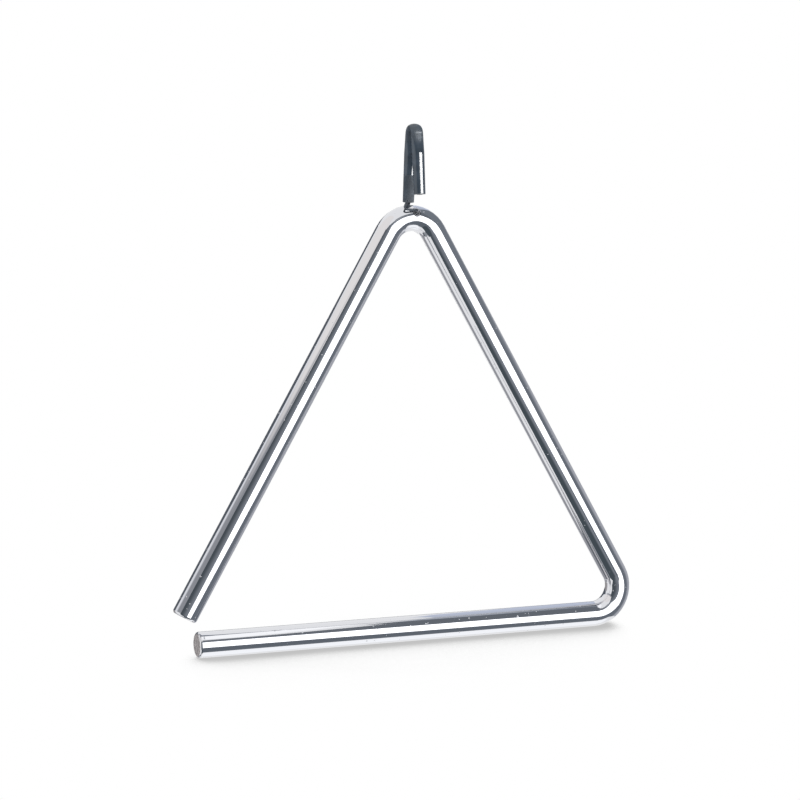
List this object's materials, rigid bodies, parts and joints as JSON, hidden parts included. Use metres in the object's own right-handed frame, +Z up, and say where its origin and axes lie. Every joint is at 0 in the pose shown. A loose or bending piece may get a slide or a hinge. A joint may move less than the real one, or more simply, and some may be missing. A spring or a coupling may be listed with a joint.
{
  "type": "percussion triangle",
  "caption": "Chrome steel percussion triangle with an open corner, hung from a folded vinyl-sleeved wire hook that swings in a hole drilled through its apex.",
  "frame": {"origin": "the hook's seat, the inside of its fold, where the instrument hangs", "axes": "+Z up, +X along the bottom side to the right, towards the closed corner, +Y from front to back through the triangle's opening"},
  "size_m": [0.1531, 0.0125, 0.1604],
  "materials": {
    "chrome_plate": "polished chrome plate on steel bar",
    "black_vinyl": "smooth glossy vinyl tube",
    "dark_wire": "drawn dark steel wire"
  },
  "bodies": {
    "hook": {"hook_sleeve": "black_vinyl", "hanger_wire": "dark_wire"},
    "triangle": {"triangle_rod": "chrome_plate"}
  },
  "joints": [
    {"name": "triangle_swing", "type": "hinge", "parent": "hook", "child": "triangle", "pos_m": [-0.00053, 0, -0.02435], "axis": [0, 1, 0], "range_deg": [-55, 12]}
  ]
}
